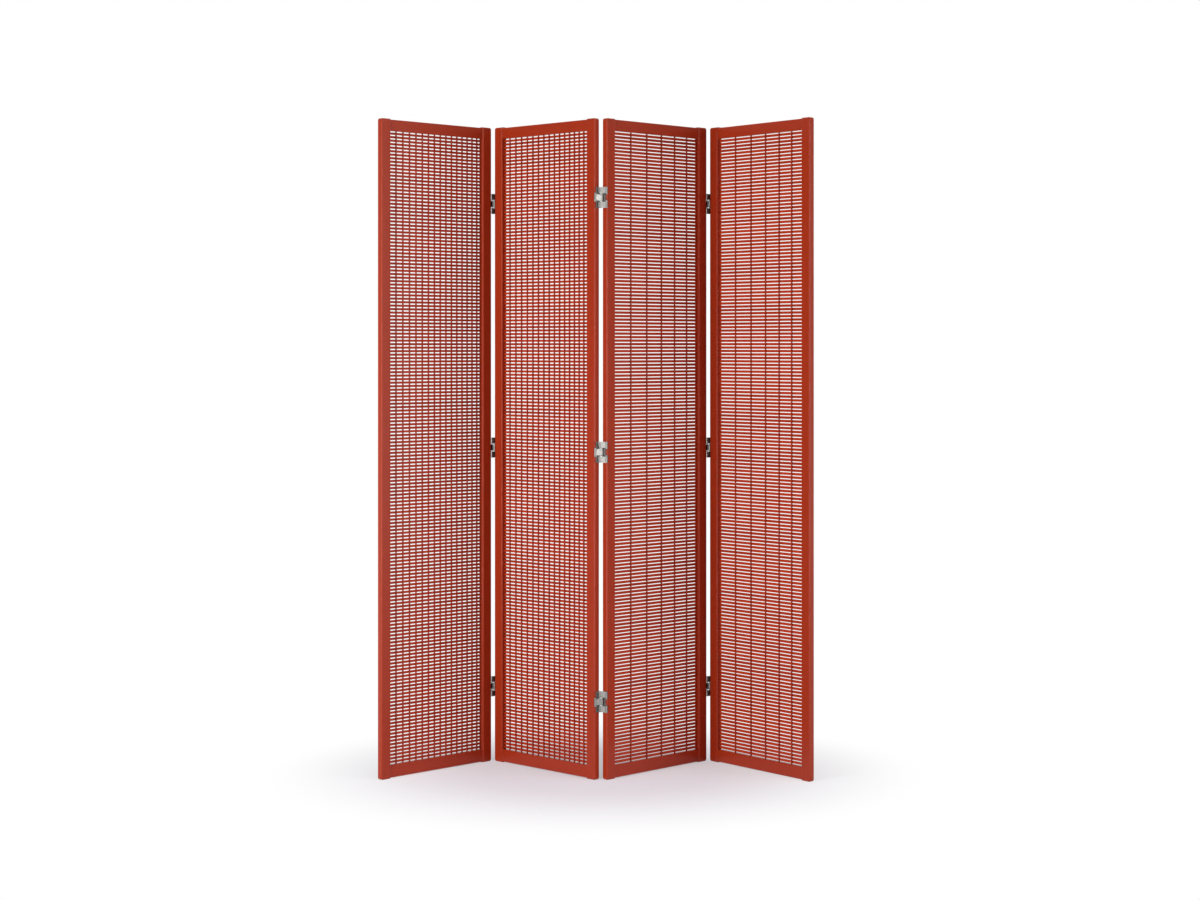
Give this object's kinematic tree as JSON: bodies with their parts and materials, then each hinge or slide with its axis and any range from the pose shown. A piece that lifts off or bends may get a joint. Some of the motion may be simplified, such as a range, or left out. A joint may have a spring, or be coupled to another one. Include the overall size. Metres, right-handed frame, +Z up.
{
  "type": "folding screen",
  "caption": "Free-standing folding screen: tall framed lattice panels in a zigzag, joined edge to edge by double-action cross-link hinges.",
  "frame": {"origin": "middle of the standing screen's footprint, on the floor", "axes": "+X along the screen to the right as seen from the front, +Y away from the front, +Z up"},
  "size_m": [1.1836, 0.3316, 1.8],
  "materials": {
    "frame_lacquer": "red-orange lacquer, satin gloss, on stiles and rails",
    "slat_lacquer": "red lacquer, satin, on the thin level slats",
    "batten_lacquer": "red-orange lacquer, satin gloss, on the upright battens",
    "dowel_wood": "bare beech, hidden in the joints",
    "hinge_nickel": "nickel-plated steel, satin",
    "pin_steel": "bright steel"
  },
  "bodies": {
    "panel_1": {"stile_left_1": "frame_lacquer", "stile_right_1": "frame_lacquer", "rail_top_1": "frame_lacquer", "rail_bottom_1": "frame_lacquer", "slats_1": "slat_lacquer", "battens_1": "batten_lacquer", "dowels_1": "dowel_wood", "leaves_left_12": "hinge_nickel", "screws_left_12": "pin_steel", "pins_left_12": "pin_steel"},
    "panel_2": {"stile_left_2": "frame_lacquer", "stile_right_2": "frame_lacquer", "rail_top_2": "frame_lacquer", "rail_bottom_2": "frame_lacquer", "slats_2": "slat_lacquer", "battens_2": "batten_lacquer", "dowels_2": "dowel_wood", "leaves_right_12": "hinge_nickel", "screws_right_12": "pin_steel", "pins_right_12": "pin_steel", "leaves_left_23": "hinge_nickel", "screws_left_23": "pin_steel", "pins_left_23": "pin_steel"},
    "panel_3": {"stile_left_3": "frame_lacquer", "stile_right_3": "frame_lacquer", "rail_top_3": "frame_lacquer", "rail_bottom_3": "frame_lacquer", "slats_3": "slat_lacquer", "battens_3": "batten_lacquer", "dowels_3": "dowel_wood", "leaves_right_23": "hinge_nickel", "screws_right_23": "pin_steel", "pins_right_23": "pin_steel", "leaves_left_34": "hinge_nickel", "screws_left_34": "pin_steel", "pins_left_34": "pin_steel"},
    "panel_4": {"stile_left_4": "frame_lacquer", "stile_right_4": "frame_lacquer", "rail_top_4": "frame_lacquer", "rail_bottom_4": "frame_lacquer", "slats_4": "slat_lacquer", "battens_4": "batten_lacquer", "dowels_4": "dowel_wood", "leaves_right_34": "hinge_nickel", "screws_right_34": "pin_steel", "pins_right_34": "pin_steel"},
    "middle_links_12": {"middle_links_12": "hinge_nickel"},
    "outer_links_12": {"outer_links_12": "hinge_nickel"},
    "middle_links_23": {"middle_links_23": "hinge_nickel"},
    "outer_links_23": {"outer_links_23": "hinge_nickel"},
    "middle_links_34": {"middle_links_34": "hinge_nickel"},
    "outer_links_34": {"outer_links_34": "hinge_nickel"}
  },
  "joints": [
    {"name": "fold_12", "type": "hinge", "parent": "panel_2", "child": "middle_links_12", "pos_m": [-0.28472, 0.15118, 0.9], "axis": [0, 0, -1], "range_deg": [-75.83, 20]},
    {"name": "middle_link_12", "type": "hinge", "parent": "middle_links_12", "child": "panel_1", "pos_m": [-0.30378, 0.16276, 0.9], "axis": [0, 0, -1], "range_deg": [-15.18, 4.01]},
    {"name": "outer_link_12", "type": "hinge", "parent": "panel_1", "child": "outer_links_12", "pos_m": [-0.29266, 0.15125, 0.9], "axis": [0, 0, 1], "range_deg": [-75.83, 20]},
    {"name": "middle_link_23", "type": "hinge", "parent": "panel_2", "child": "middle_links_23", "pos_m": [-0.00018, -0.13336, 0.9], "axis": [0, 0, -1], "range_deg": [-15.18, 4.01]},
    {"name": "fold_23", "type": "hinge", "parent": "middle_links_23", "child": "panel_3", "pos_m": [0.01908, -0.12211, 0.9], "axis": [0, 0, -1], "range_deg": [-75.83, 20]},
    {"name": "outer_link_23", "type": "hinge", "parent": "panel_2", "child": "outer_links_23", "pos_m": [0.01114, -0.12204, 0.9], "axis": [0, 0, -1], "range_deg": [-75.83, 20]},
    {"name": "middle_link_34", "type": "hinge", "parent": "panel_3", "child": "middle_links_34", "pos_m": [0.30854, 0.15742, 0.9], "axis": [0, 0, 1], "range_deg": [-14.18, 5.01]},
    {"name": "fold_34", "type": "hinge", "parent": "middle_links_34", "child": "panel_4", "pos_m": [0.32735, 0.14544, 0.9], "axis": [0, 0, 1], "range_deg": [-70.83, 25]},
    {"name": "outer_link_34", "type": "hinge", "parent": "panel_3", "child": "outer_links_34", "pos_m": [0.31966, 0.14591, 0.9], "axis": [0, 0, 1], "range_deg": [-70.83, 25]}
  ],
  "couplings": [
    {"joint": "middle_link_12", "follows": "fold_12", "ratio": 0.2},
    {"joint": "outer_link_12", "follows": "fold_12", "ratio": 1},
    {"joint": "middle_link_23", "follows": "fold_23", "ratio": 0.2},
    {"joint": "outer_link_23", "follows": "fold_23", "ratio": 1},
    {"joint": "middle_link_34", "follows": "fold_34", "ratio": 0.2},
    {"joint": "outer_link_34", "follows": "fold_34", "ratio": 1}
  ]
}
